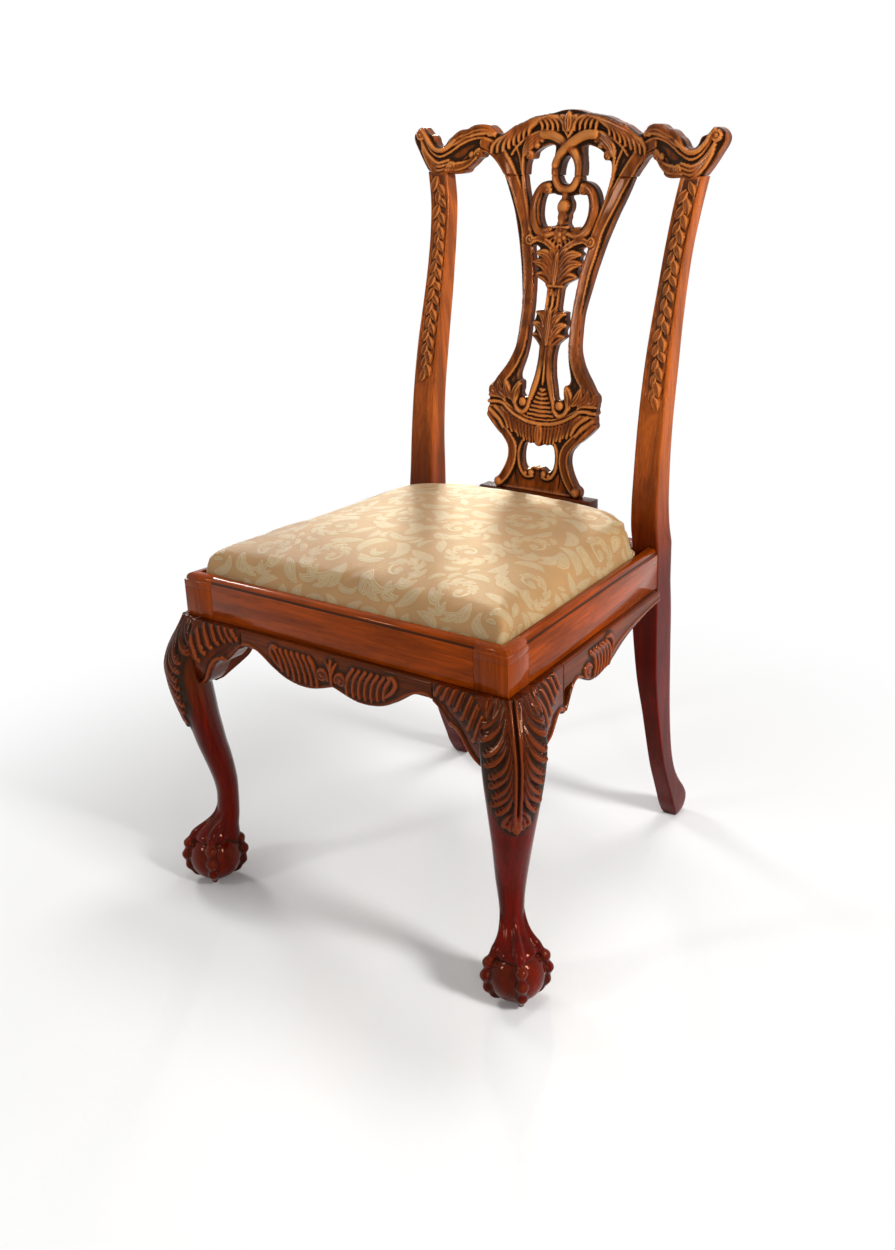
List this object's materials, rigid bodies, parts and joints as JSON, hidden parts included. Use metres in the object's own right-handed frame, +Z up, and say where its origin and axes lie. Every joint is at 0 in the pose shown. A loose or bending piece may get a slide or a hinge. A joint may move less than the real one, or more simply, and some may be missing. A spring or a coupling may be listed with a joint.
{
  "type": "side chair",
  "caption": "Carved hardwood side chair with a pierced splat, eared crest rail, cabriole front legs on ball-and-claw feet, raked back legs and a lift-out upholstered seat.",
  "frame": {"origin": "on the floor, under the middle of the chair's overall width and depth", "axes": "+Z up; the chair's front faces -Y; +X is to the right of someone who looks at its front"},
  "size_m": [0.589, 0.5904, 1.013],
  "materials": {
    "dark_mahogany": "polished dark red mahogany, carved",
    "mahogany": "polished red-brown mahogany",
    "golden_mahogany": "polished golden-brown mahogany with a dark antique glaze in the carving",
    "beech": "plain planed beech, unpolished",
    "jute_webbing": "woven jute webbing",
    "padding": "soft padding",
    "damask": "beige-gold damask with a silvery woven scroll pattern",
    "black_cloth": "thin black lining cloth",
    "screw_steel": "plain steel wood screws"
  },
  "bodies": {
    "chair_frame": {"front_leg_right": "dark_mahogany", "front_leg_left": "dark_mahogany", "back_post_right": "golden_mahogany", "back_post_left": "golden_mahogany", "front_seat_rail": "mahogany", "side_seat_rail_right": "mahogany", "side_seat_rail_left": "mahogany", "rear_seat_rail": "mahogany", "crest_rail": "golden_mahogany", "back_splat": "golden_mahogany", "splat_shoe": "dark_mahogany", "front_apron": "mahogany", "side_apron_right": "mahogany", "side_apron_left": "mahogany", "front_knee_block_right": "dark_mahogany", "front_knee_block_left": "dark_mahogany", "side_knee_block_right": "dark_mahogany", "side_knee_block_left": "dark_mahogany", "front_corner_block_right": "beech", "front_corner_block_left": "beech", "rear_corner_block_right": "beech", "rear_corner_block_left": "beech", "front_block_screw_1_right": "screw_steel", "front_block_screw_1_left": "screw_steel", "front_block_screw_2_right": "screw_steel", "front_block_screw_2_left": "screw_steel", "rear_block_screw_1_right": "screw_steel", "rear_block_screw_1_left": "screw_steel", "rear_block_screw_2_right": "screw_steel", "rear_block_screw_2_left": "screw_steel"},
    "slip_seat": {"slip_seat_frame_front": "beech", "slip_seat_frame_rear": "beech", "slip_seat_frame_side_right": "beech", "slip_seat_frame_side_left": "beech", "lengthwise_webbing_1": "jute_webbing", "crosswise_webbing_1": "jute_webbing", "lengthwise_webbing_2": "jute_webbing", "crosswise_webbing_2": "jute_webbing", "lengthwise_webbing_3": "jute_webbing", "crosswise_webbing_3": "jute_webbing", "seat_padding": "padding", "seat_cover": "damask", "dust_cover": "black_cloth"}
  },
  "joints": [
    {"name": "slip_seat_lift", "type": "slide", "parent": "chair_frame", "child": "slip_seat", "axis": [0, 0, 1], "range_m": [0, 0.15]}
  ]
}
